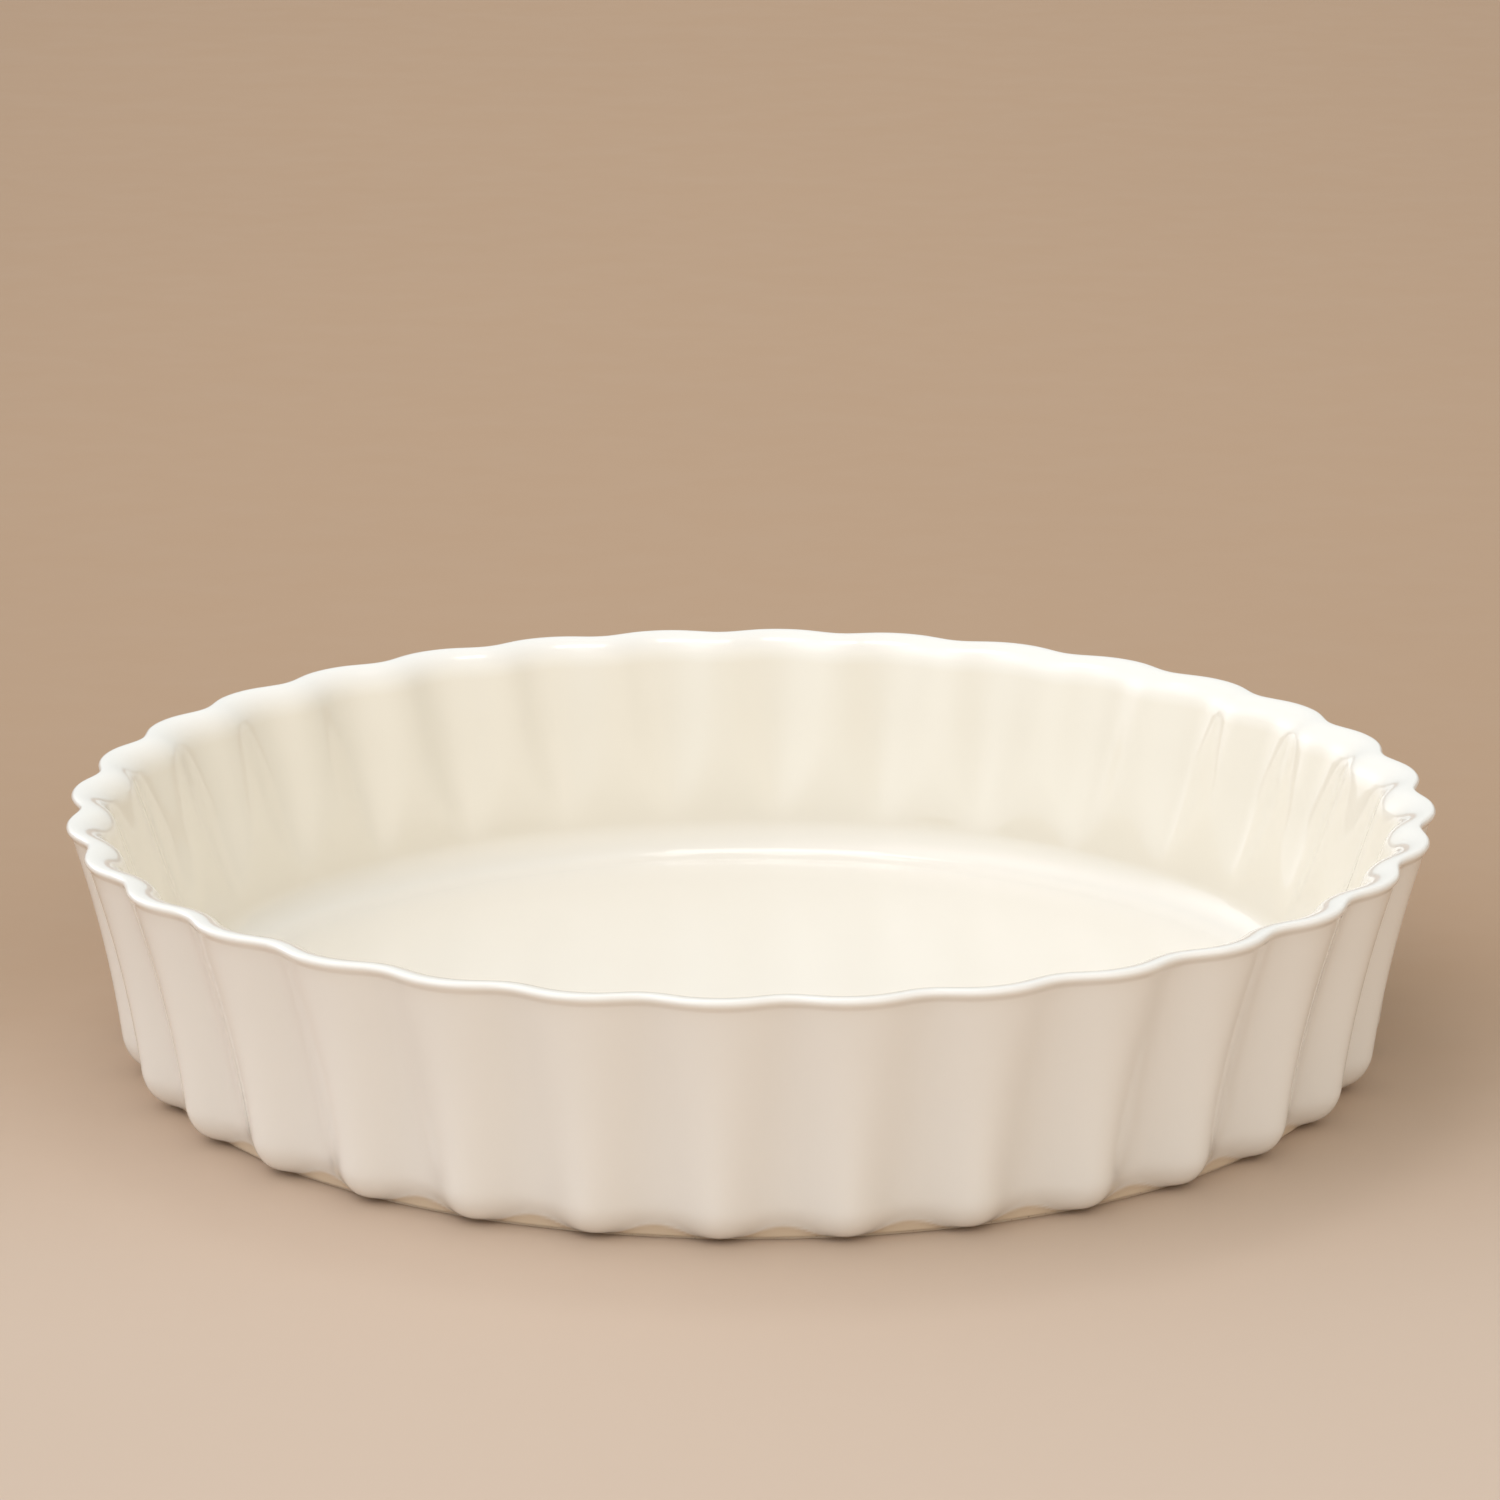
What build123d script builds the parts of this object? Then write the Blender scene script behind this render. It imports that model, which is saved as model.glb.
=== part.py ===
from build123d import *
import math
import os

# Fluted quiche dish of glazed stoneware, in millimetres. The origin is the centre of the foot
# on the table, +Z is up, and the crest of one flute points along -Y.

# Size of the glazed dish
rim_diameter = 280.0  # across two opposite crests at the lip
base_diameter = 257.8  # across two opposite crests, their lines run on down to the table
dish_height = 53.0
flute_count = 32

# Outside of the wall
wall_lean = 4.7  # how far a crest would move out over the wall at its slope near the foot
rim_flute_depth = 2.7  # crest to valley at the lip
base_flute_depth = 5.1  # crest to valley, run on down to the table
rim_crest_share = -0.12  # below zero the crests are broad and the valleys narrow
base_crest_share = 0.14  # above zero the crests are narrow and the valleys broad

# Lower corner and foot
corner_inset = 5.8  # how far the rounded corner turns in under the wall
corner_rise = 7.1  # how high it reaches over the foot
foot_diameter = 245.2  # the round foot, which shows in the valleys under the corner
foot_height = 0.8  # the glaze ends here, and the clay is bare below
foot_softness = 1.2  # how far the corner rounds off where it meets the foot
foot_step = 0.2  # how far the bare clay of the foot stands back

# Lip
lip_round = 0.9  # radius on the outside
lip_inner_round = 5.5  # height of the broader round on the inside
lip_bead = 0.5  # how far the lip stands out over the wall
lip_bead_height = 1.9

# Thickness of the wall, behind a valley
rim_thickness = 6.3
wall_thickness = 6.8  # run on down to the table

# Inside of the wall
inner_base_flute_depth = 2.2  # channel to ridge, run on down to the table
ridge_end_height = 36.0  # the flutes begin to sink into the smooth lower wall here
channel_end_height = 16.5  # and their deepest line is gone here
ridge_softness = 0.8  # how far the flutes round off where they meet the smooth wall
floor_level = 7.0
floor_fillet = 9.0

# Glaze
glaze_thickness = 0.4

# Underside
foot_ring_width = 3.4
recess_depth = 1.2
recess_slope_width = 1.6
underside_margin = 1.2  # bare clay between the recess's slope and the glaze in it

# Heights of the sections that carry each surface, as shares of that surface's own height
wall_shares = (0.2, 0.45, 0.72, 1.0)
bead_shares = (0.3, 0.65, 1.0)
fade_shares = (0.2, 0.4, 0.6, 0.8, 1.0)
inner_wall_shares = (0.5, 1.0)
round_steps = 6  # sections round the corner, the inside of the lip and the floor's fillet
lip_steps = 3  # sections round the outside of the lip
points_per_flute = 8

rim_radius = rim_diameter / 2
base_radius = base_diameter / 2
foot_radius = foot_diameter / 2
wall_curl = rim_radius - lip_bead - base_radius - wall_lean
wall_top = dish_height - lip_round
corner_top = foot_height + corner_rise
bare_foot_radius = foot_radius - glaze_thickness - foot_step
ring_inner_radius = bare_foot_radius - foot_ring_width
recess_radius = ring_inner_radius - recess_slope_width
ring_count = flute_count * points_per_flute
ring_angles = [2 * math.pi * step / ring_count for step in range(ring_count)]


def blend(at_base, at_rim, height):
    """A value that changes evenly from the table to the top of the wall."""
    return at_base + (at_rim - at_base) * height / wall_top


def wave(angle, height):
    """The flute wave: 0 in a valley and 1 on a crest."""
    crest_share = blend(base_crest_share, rim_crest_share, height)
    turn = flute_count * angle
    rise = math.cos(turn) + crest_share * math.cos(2 * turn)
    return (rise + 1 - crest_share) / 2


def valley_radius(height):
    """The valleys on the outside, which follow the crests at the flutes' depth."""
    share = height / wall_top
    crest = base_radius + wall_lean * share + wall_curl * share**2
    return crest - blend(base_flute_depth, rim_flute_depth, height)


def wall_radius(angle, height):
    """The outside of the wall, run on down to the table with no corner."""
    return valley_radius(height) + blend(base_flute_depth, rim_flute_depth, height) * wave(angle, height)


def bead(height):
    """How far the lip stands out over the wall, ending upright at the top of the wall."""
    share = max(1 - (wall_top - height) / lip_bead_height, 0)
    pull = (wall_lean + 2 * wall_curl) / wall_top * lip_bead_height
    return (3 * lip_bead + pull) * share**2 - (2 * lip_bead + pull) * share**3


def outer_radius(angle, height):
    """The outside of the dish: the wall, its beaded lip, and the corner that turns in to the foot."""
    drop = max(1 - (height - foot_height) / corner_rise, 0)
    corner = wall_radius(angle, height) - corner_inset * (1 - math.sqrt(1 - drop**2))
    over_foot = corner - foot_radius
    softened = (over_foot + math.hypot(over_foot, foot_softness * drop)) / 2
    return foot_radius + softened + bead(height)


def smooth_inner_radius(height):
    """The smooth inside of the wall, which the inner ridges stand level with."""
    return valley_radius(height) - blend(wall_thickness, rim_thickness, height)


def inner_radius(angle, height):
    """The inside of the wall: channels behind the crests that run out above the floor."""
    depth = blend(inner_base_flute_depth, rim_flute_depth, height)
    run_out = max(ridge_end_height - height, 0) / (ridge_end_height - channel_end_height)
    channel = depth * (wave(angle, height) - run_out**2)
    return smooth_inner_radius(height) + (channel + math.hypot(channel, ridge_softness)) / 2


fillet_rise = smooth_inner_radius(floor_level + floor_fillet) - smooth_inner_radius(floor_level)
fillet_lean = math.atan2(fillet_rise, floor_fillet)
fillet_top = floor_level + floor_fillet * (1 - math.sin(fillet_lean))
lip_rise = smooth_inner_radius(wall_top) - smooth_inner_radius(wall_top - lip_inner_round)
lip_lean = math.atan2(lip_rise, lip_inner_round)


def ring(radius_at, height):
    """One closed spline round the dish."""
    points = []
    for angle in ring_angles:
        radius = radius_at(angle)
        points.append((radius * math.sin(angle), -radius * math.cos(angle), height))
    steps = [float(step) for step in range(ring_count + 1)]
    return Wire([Edge.make_spline(points, periodic=True, parameters=steps)])


def band(wires):
    """The surface through a row of rings."""
    return Shell.make_loft(wires).faces()


def outer_rings(low, high, shares, inset):
    """Rings on the outside, from one height up to another, behind the glaze by the inset."""
    heights = [low] + [low + (high - low) * share for share in shares]
    return [ring(lambda angle: outer_radius(angle, height) - inset, height) for height in heights]


def inner_rings(low, high, shares, inset):
    """Rings on the inside of the wall, from one height up to another."""
    heights = [low] + [low + (high - low) * share for share in shares]
    return [ring(lambda angle: inner_radius(angle, height) + inset, height) for height in heights]


def corner_rings(inset):
    """Rings up the rounded corner, from its underside to the wall."""
    rings = []
    for step in range(round_steps + 1):
        turn = math.pi / 2 * (1 - step / round_steps)
        height = foot_height + corner_rise * (1 - math.sin(turn))
        rings.append(ring(lambda angle: outer_radius(angle, height) - inset, height))
    return rings


def crown_radius(angle):
    """The top of the lip."""
    return outer_radius(angle, wall_top) - lip_round


def lip_rings(inset):
    """Rings up the outside of the lip, to its top."""
    rings = []
    for step in range(lip_steps + 1):
        turn = math.pi / 2 * step / lip_steps
        out = (lip_round - inset) * math.cos(turn)
        height = wall_top + (lip_round - inset) * math.sin(turn)
        rings.append(ring(lambda angle: crown_radius(angle) + out, height))
    return rings


def lip_foot(inset):
    """The height at which the inside of the lip meets the wall."""
    return dish_height - lip_inner_round + (lip_inner_round - inset) * math.sin(lip_lean)


def inner_lip_rings(inset):
    """Rings down the inside of the lip, from its top to the wall."""
    rings = []
    for step in range(round_steps + 1):
        turn = math.pi / 2 + (lip_lean - math.pi / 2) * step / round_steps
        reach_share = math.cos(turn) / math.cos(lip_lean)

        def radius_at(angle):
            reach = crown_radius(angle) - inner_radius(angle, lip_foot(inset)) - inset
            return crown_radius(angle) - reach * reach_share

        height = dish_height - lip_inner_round + (lip_inner_round - inset) * math.sin(turn)
        rings.append(ring(radius_at, height))
    return rings


def fillet_rings(inset):
    """Rings down the floor's fillet, from the wall to the floor."""
    rings = []
    for step in range(round_steps + 1):
        turn = fillet_lean + (math.pi / 2 - fillet_lean) * step / round_steps
        fillet_in = (floor_fillet + inset) * math.cos(turn) - floor_fillet * math.cos(fillet_lean)
        height = floor_level + floor_fillet - (floor_fillet + inset) * math.sin(turn)
        rings.append(ring(lambda angle: inner_radius(angle, fillet_top) + fillet_in, height))
    return rings


def dish_skin(inset):
    """Every surface above the foot, from the outside over the lip to the floor."""
    corner = corner_rings(inset)
    wall = outer_rings(corner_top, wall_top - lip_bead_height, wall_shares, inset)
    under_lip = outer_rings(wall_top - lip_bead_height, wall_top, bead_shares, inset)
    lip = lip_rings(inset)
    inner_lip = inner_lip_rings(inset)
    inner_wall = inner_rings(ridge_end_height, lip_foot(inset), inner_wall_shares, inset)
    fade = inner_rings(fillet_top, ridge_end_height, fade_shares, inset)
    fillet = fillet_rings(inset)
    fade[0] = fillet[0]
    faces = []
    for wires in (corner, wall, under_lip, lip, inner_lip, inner_wall, fade, fillet):
        faces += band(wires)
    faces.append(Face(fillet[-1]))
    return faces, corner[0]


def glaze_coat():
    """The coat of glass over the outside, the lip and the inside, one closed skin."""
    outside, outer_edge = dish_skin(0)
    inside, inner_edge = dish_skin(glaze_thickness)
    end = Face(outer_edge, [inner_edge])
    return Solid(Shell(outside + inside + [end]))


def stoneware_body():
    """The fired clay, with the bare foot ring and the recess under the floor."""
    skin, skin_edge = dish_skin(glaze_thickness)
    foot_top = ring(lambda angle: bare_foot_radius, foot_height)
    foot_edge = ring(lambda angle: bare_foot_radius, 0)
    ring_hole = ring(lambda angle: ring_inner_radius, 0)
    recess_rim = ring(lambda angle: recess_radius, recess_depth)
    underside = Face(skin_edge, [foot_top])
    foot = Face(foot_edge, [ring_hole])
    ceiling = Face(recess_rim)
    sides = band([foot_top, foot_edge]) + band([ring_hole, recess_rim])
    return Solid(Shell(skin + sides + [underside, foot, ceiling]))


def underside_glaze():
    """The round patch of glaze in the recess, clear of the table."""
    radius = recess_radius - underside_margin
    disc = Cylinder(radius, glaze_thickness, align=(Align.CENTER, Align.CENTER, Align.MAX))
    return Pos(0, 0, recess_depth) * disc


os.makedirs("parts", exist_ok=True)
export_step(stoneware_body(), "parts/stoneware_body.step")
export_step(glaze_coat(), "parts/glaze_coat.step")
export_step(underside_glaze(), "parts/underside_glaze.step")
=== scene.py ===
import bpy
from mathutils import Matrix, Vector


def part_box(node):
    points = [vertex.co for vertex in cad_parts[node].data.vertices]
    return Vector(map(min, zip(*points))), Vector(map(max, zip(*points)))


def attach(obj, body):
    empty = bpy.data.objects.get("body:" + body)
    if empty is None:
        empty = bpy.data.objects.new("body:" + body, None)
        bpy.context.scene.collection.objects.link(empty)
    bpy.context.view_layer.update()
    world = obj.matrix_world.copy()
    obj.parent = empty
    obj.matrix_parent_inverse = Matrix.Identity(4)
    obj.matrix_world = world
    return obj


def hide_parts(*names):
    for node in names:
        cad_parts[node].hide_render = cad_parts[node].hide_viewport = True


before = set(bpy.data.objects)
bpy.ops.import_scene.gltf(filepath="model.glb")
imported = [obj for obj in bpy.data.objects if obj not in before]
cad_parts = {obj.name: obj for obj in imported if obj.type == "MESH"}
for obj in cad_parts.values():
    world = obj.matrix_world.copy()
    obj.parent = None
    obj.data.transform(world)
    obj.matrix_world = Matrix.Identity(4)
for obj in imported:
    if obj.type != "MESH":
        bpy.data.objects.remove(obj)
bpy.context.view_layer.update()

import math

import bpy
import numpy as np
from mathutils import Euler, Vector, noise

# Fluted quiche dish of cream-glazed stoneware on a plain pale floor. Everything is in metres in
# the frame of the solids: +Z is up and the crest of one flute points along -Y.

mm = 0.001

# Outside of the dish, as the solids have it
flute_count = 32
rim_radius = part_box("glaze_coat")[1].x
dish_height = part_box("glaze_coat")[1].z
base_radius = 128.9 * mm
wall_lean = 4.7 * mm
rim_flute_depth = 2.7 * mm
base_flute_depth = 5.1 * mm
rim_crest_share = -0.12
base_crest_share = 0.14
corner_inset = 5.8 * mm
corner_rise = 7.1 * mm
foot_radius = 122.6 * mm
foot_height = 0.8 * mm
foot_softness = 1.2 * mm

# Lip
lip_round = 0.9 * mm
lip_inner_round = 5.5 * mm
lip_bead = 0.5 * mm
lip_bead_height = 1.9 * mm

# Wall, inside and floor
rim_thickness = 6.3 * mm
wall_thickness = 6.8 * mm
inner_base_flute_depth = 2.2 * mm
ridge_end_height = 36.0 * mm
channel_end_height = 16.5 * mm
ridge_softness = 0.8 * mm
floor_level = 7.0 * mm
floor_fillet = 9.0 * mm
glaze_thickness = 0.4 * mm

# Bare foot ring and the recess inside it
foot_step = 0.2 * mm
foot_ring_width = 3.4 * mm
recess_slope_width = 1.6 * mm
recess_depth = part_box("underside_glaze")[1].z
foot_edge_softness = 0.3 * mm

# Fineness of the meshes
points_per_flute = 24
corner_rows = 14
wall_rows = 14
bead_rows = 7
lip_rows = 8
inner_lip_rows = 12
inner_wall_rows = 7
fade_rows = 16
fillet_rows = 10
floor_rows = 8
hidden_share = 0.25  # how many of the rows above the surfaces under the glaze have
foot_edge_rows = 5
patch_edge_rows = 9

# Unevenness that the clay keeps from its mould and the glaze from its firing, and how far the inside's
# painted shade and the glaze's brown near the foot reach
unevenness = 0.12 * mm
unevenness_size = 34 * mm
unshaded_floor_share = 0.65  # how much of the inner wall's extra glaze and painted shade is left off the floor
browning_reach = 0.8 * mm  # over how much of the corner's overhang the glaze turns a clay brown towards the foot

wall_curl = rim_radius - lip_bead - base_radius - wall_lean
wall_top = dish_height - lip_round
ring_count = flute_count * points_per_flute
ring_angles = np.linspace(0, 2 * math.pi, ring_count, endpoint=False)


def blend(at_base, at_rim, height):
    """A value that changes evenly from the table to the top of the wall."""
    return at_base + (at_rim - at_base) * height / wall_top


def wave(height):
    """The flute wave round the dish: 0 in a valley and 1 on a crest."""
    crest_share = blend(base_crest_share, rim_crest_share, height)
    turn = flute_count * ring_angles
    rise = np.cos(turn) + crest_share * np.cos(2 * turn)
    return (rise + 1 - crest_share) / 2


def flute_depth(height):
    return blend(base_flute_depth, rim_flute_depth, height)


def valley_radius(height):
    """The valleys on the outside, which follow the crests at the flutes' depth."""
    share = height / wall_top
    return base_radius + wall_lean * share + wall_curl * share**2 - flute_depth(height)


def wall_radius(height):
    """The outside of the wall, run on down to the table with no corner."""
    return valley_radius(height) + flute_depth(height) * wave(height)


def bead(height):
    """How far the lip stands out over the wall, ending upright at the top of the wall."""
    share = max(1 - (wall_top - height) / lip_bead_height, 0)
    pull = (wall_lean + 2 * wall_curl) / wall_top * lip_bead_height
    return (3 * lip_bead + pull) * share**2 - (2 * lip_bead + pull) * share**3


def corner_drop(height):
    """How far down the rounded corner a height lies: 0 at its top and 1 at the foot."""
    return max(1 - (height - foot_height) / corner_rise, 0)


def corner_radius(height):
    """The wall and the rounded corner that turns in under it."""
    return wall_radius(height) - corner_inset * (1 - math.sqrt(1 - corner_drop(height) ** 2))


def outer_radius(height):
    """The outside of the dish: the wall, its beaded lip, and the corner that runs into the foot."""
    over_foot = corner_radius(height) - foot_radius
    softened = (over_foot + np.hypot(over_foot, foot_softness * corner_drop(height))) / 2
    return foot_radius + softened + bead(height)


def smooth_inner_radius(height):
    """The smooth inside of the wall, which the inner ridges stand level with."""
    return valley_radius(height) - blend(wall_thickness, rim_thickness, height)


def inner_radius(height):
    """The inside of the wall: channels behind the crests that run out above the floor."""
    run_out = max(ridge_end_height - height, 0) / (ridge_end_height - channel_end_height)
    channel = blend(inner_base_flute_depth, rim_flute_depth, height) * (wave(height) - run_out**2)
    return smooth_inner_radius(height) + (channel + np.hypot(channel, ridge_softness)) / 2


fillet_rise = smooth_inner_radius(floor_level + floor_fillet) - smooth_inner_radius(floor_level)
fillet_lean = math.atan2(fillet_rise, floor_fillet)
fillet_top = floor_level + floor_fillet * (1 - math.sin(fillet_lean))
lip_rise = smooth_inner_radius(wall_top) - smooth_inner_radius(wall_top - lip_inner_round)
lip_lean = math.atan2(lip_rise, lip_inner_round)


def steps(first, last, count):
    """Evenly spaced values that leave the first one out."""
    return np.linspace(first, last, count + 1)[1:]


def dish_rows(inset, share=1.0):
    """Rows of (radius round the dish, height) from the foot over the lip to the floor."""

    def count(rows):
        return max(round(rows * share), 3)

    rows = []
    for turn in np.linspace(math.pi / 2, 0, count(corner_rows)):
        height = foot_height + corner_rise * (1 - math.sin(turn))
        rows.append((outer_radius(height) - inset, height))
    bead_foot = wall_top - lip_bead_height
    for height in steps(foot_height + corner_rise, bead_foot, count(wall_rows)):
        rows.append((outer_radius(height) - inset, height))
    for height in steps(bead_foot, wall_top, count(bead_rows)):
        rows.append((outer_radius(height) - inset, height))
    crown = outer_radius(wall_top) - lip_round
    for turn in steps(0, math.pi / 2, count(lip_rows)):
        height = wall_top + (lip_round - inset) * math.sin(turn)
        rows.append((crown + (lip_round - inset) * math.cos(turn), height))
    lip_foot = dish_height - lip_inner_round + (lip_inner_round - inset) * math.sin(lip_lean)
    lip_width = crown - inner_radius(lip_foot) - inset
    for turn in steps(math.pi / 2, lip_lean, count(inner_lip_rows)):
        height = dish_height - lip_inner_round + (lip_inner_round - inset) * math.sin(turn)
        rows.append((crown - lip_width * math.cos(turn) / math.cos(lip_lean), height))
    for height in steps(lip_foot, ridge_end_height, count(inner_wall_rows)):
        rows.append((inner_radius(height) + inset, height))
    for height in steps(ridge_end_height, fillet_top, count(fade_rows)):
        rows.append((inner_radius(height) + inset, height))
    for turn in steps(fillet_lean, math.pi / 2, count(fillet_rows)):
        fillet_in = (floor_fillet + inset) * math.cos(turn) - floor_fillet * math.cos(fillet_lean)
        height = floor_level + floor_fillet - (floor_fillet + inset) * math.sin(turn)
        rows.append((inner_radius(fillet_top) + fillet_in, height))
    floor_edge, height = rows[-1]
    for part in steps(1, 0, count(floor_rows))[:-1]:
        rows.append((floor_edge * part, height))
    return rows


def skin_mesh(name, rows, first_middle, last_middle):
    """A closed mesh through rings of points, ended by a point in the middle at either end."""
    points = [(0, 0, first_middle)]
    for radius, height in rows:
        x = radius * np.sin(ring_angles)
        y = -radius * np.cos(ring_angles)
        points.extend(zip(x, y, np.full(ring_count, height)))
    points.append((0, 0, last_middle))
    faces = []
    nexts = [(index + 1) % ring_count for index in range(ring_count)]
    last_ring = 1 + (len(rows) - 1) * ring_count
    for index in range(ring_count):
        faces.append((0, 1 + nexts[index], 1 + index))
        faces.append((len(points) - 1, last_ring + index, last_ring + nexts[index]))
    for row in range(len(rows) - 1):
        low, high = 1 + row * ring_count, 1 + (row + 1) * ring_count
        for index in range(ring_count):
            faces.append((low + index, low + nexts[index], high + nexts[index], high + index))
    mesh = bpy.data.meshes.new(name)
    mesh.from_pydata([tuple(point) for point in points], [], faces)
    mesh.polygons.foreach_set("use_smooth", [True] * len(mesh.polygons))
    mesh.update()
    return mesh


def roughen(mesh):
    """Moves a mesh's points inward a little, more in some places than in others."""
    points = np.array([vertex.co for vertex in mesh.vertices])
    for point in points:
        swell = noise.noise(Vector(point) / unevenness_size)
        point[:2] *= 1 - unevenness / rim_radius * (0.5 + 0.5 * swell)
    mesh.vertices.foreach_set("co", points.ravel())
    mesh.update()


def add(name, data):
    piece = bpy.data.objects.new(name, data)
    bpy.context.scene.collection.objects.link(piece)
    return piece


def stand_in(mesh, node):
    """The piece that is seen in place of one of the solids."""
    piece = add(mesh.name, mesh)
    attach(piece, "root")
    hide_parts(node)
    return piece


def inside_shade_and_glaze(height):
    """How much darker and creamier the inside is painted, partly for thicker glaze and partly as painted
    shade: none on the lip, most on the wall, less on the floor.
    """
    below_lip = min((dish_height - height) / lip_inner_round, 1)
    on_floor = min(max((fillet_top - height) / (fillet_top - floor_level), 0), 1)
    return below_lip * (1 - unshaded_floor_share * on_floor)


def near_foot_browning(height):
    """How far the glaze turns a clay brown round the dish: where the wall has given way to the foot."""
    over_foot = corner_radius(height) - foot_radius
    return np.clip(0.5 - over_foot / browning_reach, 0, 1) if height < foot_height + corner_rise else 0


def dish_glaze():
    """The glaze over the outside, the lip and the inside, as one closed skin."""
    outside = dish_rows(0)
    hidden = dish_rows(glaze_thickness, hidden_share)
    rows = hidden[::-1] + outside
    mesh = skin_mesh("dish_glaze", rows, hidden[-1][1], outside[-1][1])
    roughen(mesh)
    lip = np.argmax([height for radius, height in outside])
    # Painted shade inside: the inner wall darker and creamier than the lip, partly for thicker glaze
    inside_darkening, browned = np.zeros((2, len(rows), ring_count))
    for index, (radius, height) in enumerate(outside):
        row = len(hidden) + index
        if index < lip:
            # Below the lip, the glaze turns a clay brown where the corner comes in close to the foot
            browned[row] = near_foot_browning(height)
        else:
            inside_darkening[row] = inside_shade_and_glaze(height)
    for name, values in (("inside_darkening", inside_darkening), ("browned", browned)):
        carried = mesh.attributes.new(name, "FLOAT", "POINT")
        carried.data.foreach_set("value", np.concatenate(([0], values.ravel(), values[-1, -1:])))
    return stand_in(mesh, "glaze_coat")


def eased(corners, reach):
    """A run of points (radius, height) with its inner corners rounded off, a reach to either side."""
    corners = [Vector(corner) for corner in corners]
    points = [corners[0]]
    for before, corner, after in zip(corners, corners[1:], corners[2:]):
        start = corner + (before - corner).normalized() * reach
        end = corner + (after - corner).normalized() * reach
        for part in np.linspace(0, 1, foot_edge_rows):
            points.append(start * (1 - part) ** 2 + corner * 2 * part * (1 - part) + end * part**2)
    return points + [corners[-1]]


def clay_body():
    """The fired clay under the glaze, with the soft edges of its bare foot ring."""
    bare_radius = foot_radius - glaze_thickness - foot_step
    ring_inner_radius = bare_radius - foot_ring_width
    recess_radius = ring_inner_radius - recess_slope_width
    corners = [(recess_radius / 2, recess_depth), (recess_radius, recess_depth)]
    corners += [(ring_inner_radius, 0), (bare_radius, 0), (bare_radius, foot_height)]
    underside = [(np.full(ring_count, point.x), point.y) for point in eased(corners, foot_edge_softness)]
    rows = underside + dish_rows(glaze_thickness, hidden_share)
    mesh = skin_mesh("clay_body", rows, recess_depth, rows[-1][1])
    roughen(mesh)
    return stand_in(mesh, "stoneware_body")


def underside_patch():
    """The glaze in the recess under the floor, with a soft edge."""
    low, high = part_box("underside_glaze")
    thickness = high.z - low.z
    rows = []
    for turn in np.linspace(-math.pi / 2, math.pi / 2, patch_edge_rows):
        radius = high.x - thickness * (1 - math.cos(turn))
        rows.append((np.full(ring_count, radius), (low.z + high.z) / 2 + thickness / 2 * math.sin(turn)))
    return stand_in(skin_mesh("underside_patch", rows, low.z, high.z), "underside_glaze")


# Camera at the photograph's place: 1443 mm away, a little to the right of the front crest
camera_turn = math.radians(2.787)
camera_reach = 1.3743
camera_height = 0.4409
camera_side = -0.0002
camera_pitch = math.radians(15.374)
camera_lens = 167.2
camera_sensor = 36.0
camera_right = Vector((math.cos(camera_turn), math.sin(camera_turn), 0))
camera_back = Vector((-math.sin(camera_turn), math.cos(camera_turn), 0))


def from_dish(side, away, height):
    """A place given from the dish by what is right, behind and up as the camera sees it."""
    return camera_right * side + camera_back * away + Vector((0, 0, height))


def toward(bearing, rise):
    """The direction at a bearing from the camera's side of the dish and at a rise, in degrees."""
    bearing, rise = math.radians(bearing), math.radians(rise)
    reach = math.cos(rise)
    return from_dish(reach * math.sin(bearing), -reach * math.cos(bearing), math.sin(rise))


class Nodes:
    """A short way to write the nodes of a material or of the world."""

    def __init__(self, owner, place="Object"):
        owner.use_nodes = True
        self.owner = owner
        self.tree = owner.node_tree
        self.place = self.add("ShaderNodeTexCoord").outputs[place]

    def add(self, kind, links=None, **values):
        node = self.tree.nodes.new(kind)
        for key, value in values.items():
            setattr(node, key, value)
        for socket, source in (links or {}).items():
            if hasattr(source, "is_linked"):
                self.tree.links.new(source, node.inputs[socket])
            else:
                node.inputs[socket].default_value = source
        return node

    def grain(self, scale, detail=2.0, roughness=0.5):
        """Noise by place, about 0 to 1, whose bumps are 1 / scale metres apart."""
        links = {"Vector": self.place, "Scale": scale, "Detail": detail, "Roughness": roughness}
        return self.add("ShaderNodeTexNoise", links).outputs["Fac"]

    def ranged(self, source, low, high, to_low, to_high, way="LINEAR"):
        """A value brought from one range to another, held at its ends."""
        links = {"Value": source, "From Min": low, "From Max": high, "To Min": to_low, "To Max": to_high}
        return self.add("ShaderNodeMapRange", links, interpolation_type=way).outputs["Result"]

    def along(self, direction):
        """How far a place lies in a direction."""
        links = {0: self.place, 1: direction}
        return self.add("ShaderNodeVectorMath", links, operation="DOT_PRODUCT").outputs["Value"]

    def value_of(self, attribute):
        """A value that the mesh carries at each of its points."""
        return self.add("ShaderNodeAttribute", attribute_name=attribute).outputs["Fac"]

    def math(self, operation, *values):
        return self.add("ShaderNodeMath", dict(enumerate(values)), operation=operation).outputs[0]

    def mixed(self, amount, first, second):
        """A colour between two others."""
        node = self.add("ShaderNodeMix", data_type="RGBA")
        for socket, source in (("Factor_Float", amount), ("A_Color", first), ("B_Color", second)):
            target = next(item for item in node.inputs if item.identifier == socket)
            if hasattr(source, "is_linked"):
                self.tree.links.new(source, target)
            else:
                target.default_value = (*source, 1)
        return next(item for item in node.outputs if item.identifier == "Result_Color")

    def bumped(self, height, distance, under=None):
        """A bump whose full height is a distance, on top of another bump."""
        links = {"Height": height, "Distance": distance, "Strength": 1.0}
        if under:
            links["Normal"] = under
        return self.add("ShaderNodeBump", links).outputs["Normal"]

    def finish(self, colour, roughness, normal, **constants):
        """Links what varies, and sets what doesn't on the shader itself."""
        shader = self.tree.nodes["Principled BSDF"]
        self.tree.links.new(colour, shader.inputs["Base Color"])
        self.tree.links.new(roughness, shader.inputs["Roughness"])
        self.tree.links.new(normal, shader.inputs["Normal"])
        for socket, value in constants.items():
            shader.inputs[socket.replace("_", " ")].default_value = value
        return self.owner


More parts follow.
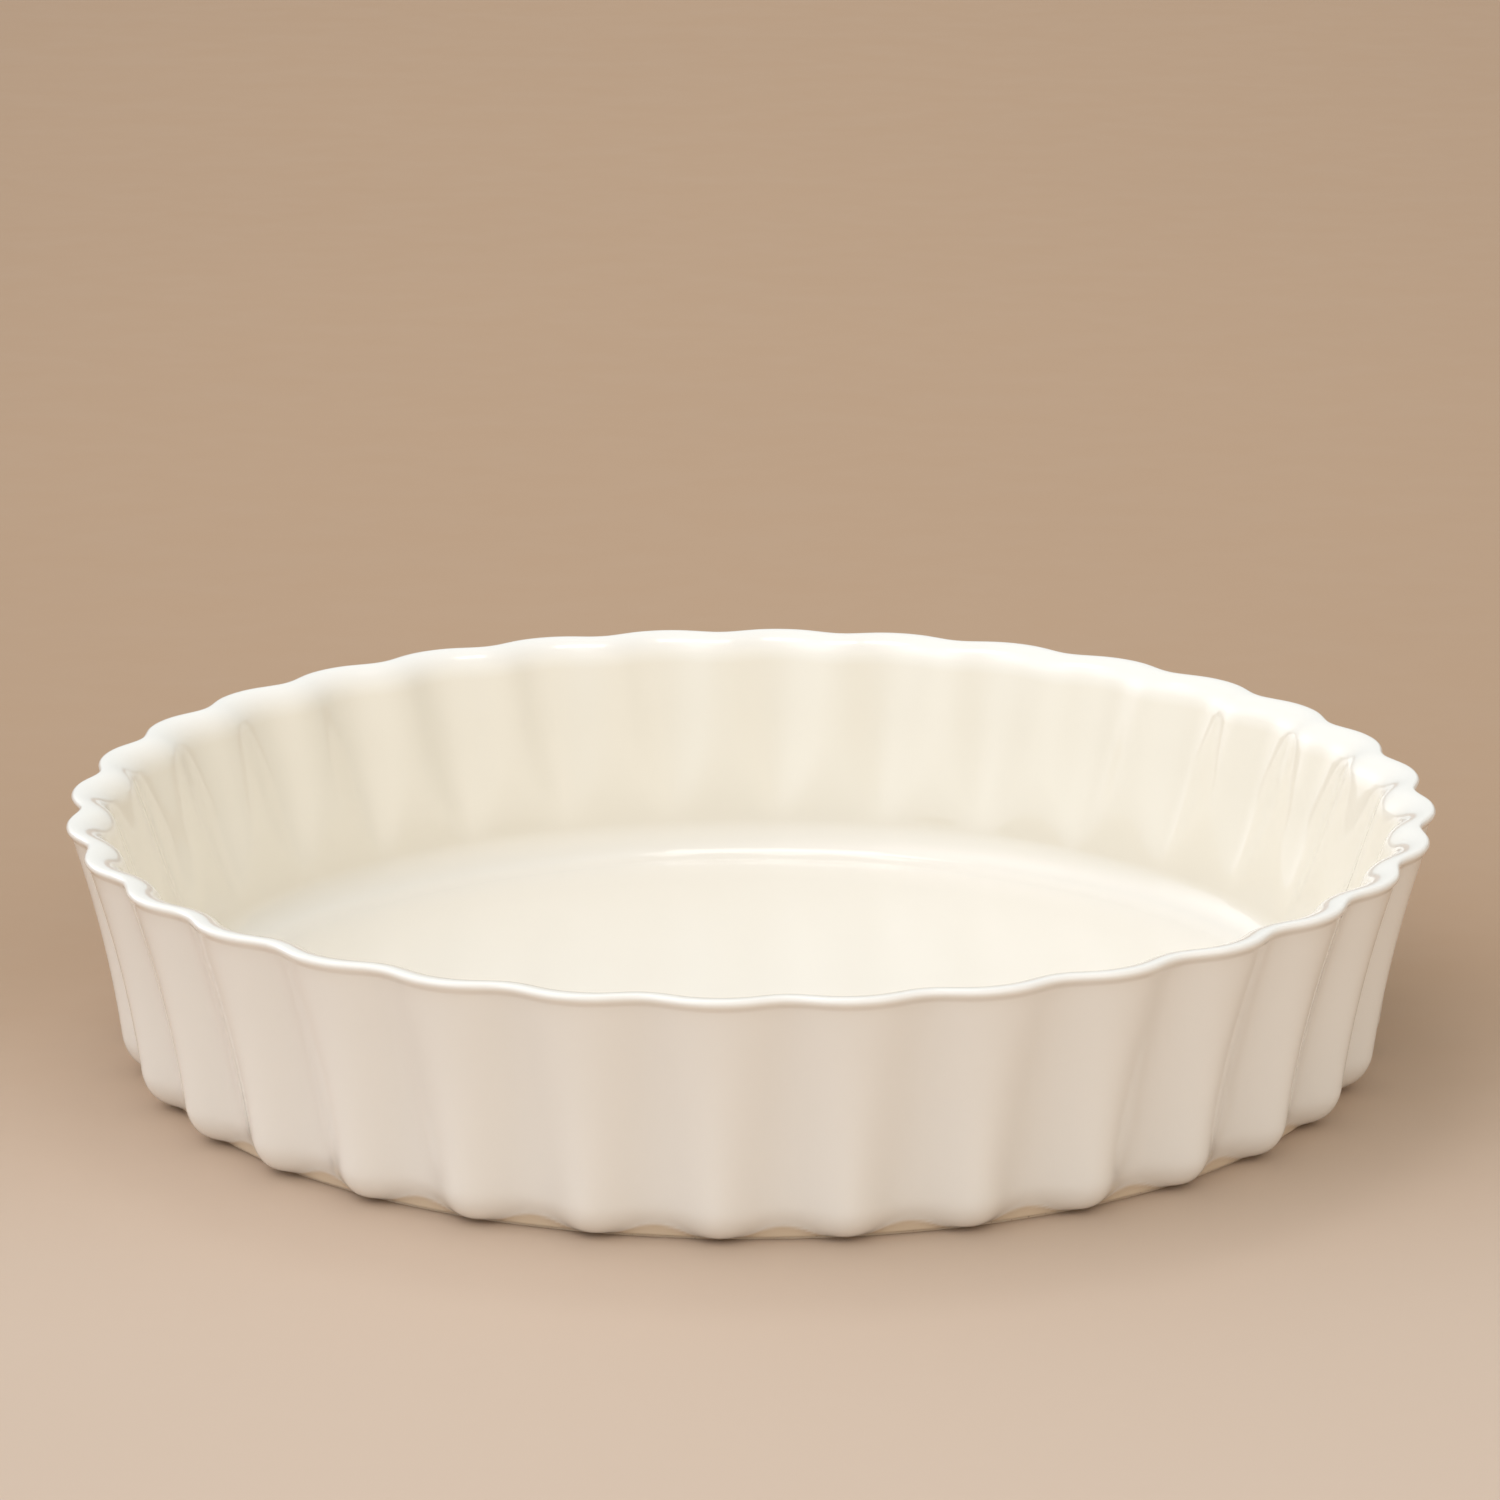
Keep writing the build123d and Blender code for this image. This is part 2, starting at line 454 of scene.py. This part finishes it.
# Colours, in pairs where faint clouds change from one to the other
thin_glaze = ((0.915, 0.893, 0.834), (0.922, 0.903, 0.855))
# The inside's colour: thicker glaze with painted shade and bounced light in it
thick_and_shaded_glaze = ((0.82, 0.758, 0.635), (0.83, 0.773, 0.66))
# A clay brown that the glaze turns to where the corner meets the foot
near_foot_brown = (0.66, 0.53, 0.38)
clay_colours = ((0.62, 0.5, 0.37), (0.72, 0.61, 0.47))
clay_speck_colour = (0.33, 0.22, 0.14)

# Heights of the finest relief, too small for the meshes
glaze_wave_height = 0.05 * mm
glaze_ripple_height = 0.004 * mm
clay_grain_height = 0.03 * mm
floor_grain_height = 0.01 * mm


def glaze_material():
    """Glossy cream glaze, darker and creamier on the inner wall, partly where it is thicker and partly as
    painted shade, with faint clouds of colour and the soft waves of a fired surface."""
    nodes = Nodes(bpy.data.materials.new("cream_glaze"))
    clouds = nodes.grain(14, 2)
    thin = nodes.mixed(clouds, *thin_glaze)
    thick_and_shaded = nodes.mixed(clouds, *thick_and_shaded_glaze)
    # Painted shade: the inner wall darker and creamier than the lip and outside, partly thicker glaze
    glaze_with_inside_shade = nodes.mixed(nodes.value_of("inside_darkening"), thin, thick_and_shaded)
    colour = nodes.mixed(nodes.value_of("browned"), glaze_with_inside_shade, near_foot_brown)
    roughness = nodes.ranged(nodes.grain(60, 2), 0.0, 1.0, 0.26, 0.36)
    waves = nodes.bumped(nodes.grain(70, 1), glaze_wave_height)
    ripples = nodes.bumped(nodes.grain(420, 2), glaze_ripple_height, waves)
    return nodes.finish(colour, roughness, ripples, Coat_Weight=1.0, Coat_Roughness=0.05, Coat_IOR=1.5)


def clay_material():
    """Bare fired clay: matt, fine-grained and a little uneven in colour."""
    nodes = Nodes(bpy.data.materials.new("fired_clay"))
    clouds = nodes.ranged(nodes.grain(60, 4), 0.3, 0.7, 0, 1)
    body = nodes.mixed(clouds, *clay_colours)
    specks = nodes.ranged(nodes.grain(1400, 2), 0.66, 0.7, 0, 0.5)
    colour = nodes.mixed(specks, body, clay_speck_colour)
    roughness = nodes.ranged(nodes.grain(500, 2), 0.3, 0.7, 0.75, 0.95)
    return nodes.finish(colour, roughness, nodes.bumped(nodes.grain(1800, 3), clay_grain_height))


# The floor is darker and browner behind the dish than in front of it, and darker to the sides: painted
# shade, for light that falls off away from the front of the dish
floor_near = -0.18
floor_far = 0.08
floor_near_colour = (0.615, 0.487, 0.382)
floor_far_colour = (0.43, 0.29, 0.183)
floor_side_width = 0.7
floor_side_shade_colour = (0.3, 0.2, 0.13)


def floor_material():
    """The pale matt surface that the dish stands on, with painted shade behind it and to the sides."""
    nodes = Nodes(bpy.data.materials.new("pale_floor"))
    depth = nodes.ranged(nodes.along(camera_back), floor_near, floor_far, 0, 1, "SMOOTHSTEP")
    pale = nodes.mixed(depth, floor_near_colour, floor_far_colour)
    # Painted shade: the floor darkens towards the sides
    side = nodes.math("DIVIDE", nodes.along(camera_right), floor_side_width)
    shade = nodes.math("MULTIPLY_ADD", side, side, nodes.ranged(nodes.grain(3, 2), 0.3, 0.7, 0, 0.06))
    colour = nodes.mixed(shade, pale, floor_side_shade_colour)
    roughness = nodes.ranged(nodes.grain(40, 2), 0.3, 0.7, 0.7, 0.8)
    return nodes.finish(colour, roughness, nodes.bumped(nodes.grain(900, 2), floor_grain_height))


def floor():
    """A round floor whose far rim curves up a little, so that its edge is soft."""
    flat_radius = 4.0
    sweep_radius = 0.6
    sweep_rows = 10
    around = 96
    profile = [(flat_radius * part, 0.0) for part in (0.15, 0.5, 1.0)]
    for turn in steps(0, math.pi / 2, sweep_rows):
        profile.append((flat_radius + sweep_radius * math.sin(turn), sweep_radius * (1 - math.cos(turn))))
    points = [(0, 0, 0)]
    for radius, height in profile:
        for index in range(around):
            angle = 2 * math.pi * index / around
            points.append((radius * math.sin(angle), -radius * math.cos(angle), height))
    faces = []
    for index in range(around):
        beside = (index + 1) % around
        faces.append((0, 1 + index, 1 + beside))
        for row in range(len(profile) - 1):
            low, high = 1 + row * around, 1 + (row + 1) * around
            faces.append((low + index, high + index, high + beside, low + beside))
    mesh = bpy.data.meshes.new("floor")
    mesh.from_pydata(points, [], faces)
    mesh.polygons.foreach_set("use_smooth", [True] * len(mesh.polygons))
    piece = add("floor", mesh)
    piece.data.materials.append(floor_material())


def camera():
    data = bpy.data.cameras.new("camera")
    data.lens = camera_lens
    data.sensor_width = camera_sensor
    piece = add("camera", data)
    piece.location = from_dish(camera_side, -camera_reach, camera_height)
    piece.rotation_euler = Euler((math.pi / 2 - camera_pitch, 0, camera_turn))
    bpy.context.scene.camera = piece


def softbox(name, place, target, size, power):
    """A white rectangular lamp at a place, turned to a target."""
    data = bpy.data.lights.new(name, "AREA")
    data.shape = "RECTANGLE"
    data.size, data.size_y = size
    data.energy = power
    piece = add(name, data)
    piece.location = place
    piece.rotation_euler = (target - place).to_track_quat("-Z", "Y").to_euler()


# Light from all around: an even part, and broad lobes, each with its bearing from the camera's
# side and its rise, in degrees, how sharp it is, and its colour times its strength
even_light = (0.515, 0.515, 0.49)
lobes = {
    "front left": (-45, 25, 4, (1.06, 1.13, 1.22)),
    "front right": (45, 25, 4, (0.93, 0.86, 0.80)),
    "back": (180, 25, 4, (0.26, 0.30, 0.31)),
    "behind left": (-120, 20, 16, (1.75, 1.80, 1.95)),
    "high left": (-90, 65, 16, (1.50, 1.36, 1.42)),
}

# A lamp high over the back of the dish, which the lip and the edge of the floor inside mirror
lamp_power = 1.1
lamp_size = (0.4, 0.3)
lamp_place = (-0.05, 0.42, 1.25)
lamp_aim = (0, 0, 0.03)


def room():
    """Soft light from all around, with more of it from some sides."""
    nodes = Nodes(bpy.data.worlds.new("room"), "Generated")
    light = even_light
    for bearing, rise, sharpness, colour in lobes.values():
        facing = nodes.math("MAXIMUM", nodes.along(toward(bearing, rise)), 0)
        links = {0: colour, 1: nodes.math("POWER", facing, sharpness), 2: light}
        light = nodes.add("ShaderNodeVectorMath", links, operation="MULTIPLY_ADD").outputs["Vector"]
    nodes.tree.links.new(light, nodes.tree.nodes["Background"].inputs["Color"])
    bpy.context.scene.world = nodes.owner


def lights():
    softbox("lamp", from_dish(*lamp_place), from_dish(*lamp_aim), lamp_size, lamp_power)
    room()


glaze = glaze_material()
dish_glaze().data.materials.append(glaze)
underside_patch().data.materials.append(glaze)
clay_body().data.materials.append(clay_material())
floor()
camera()
lights()
bpy.context.scene.view_settings.view_transform = "Standard"
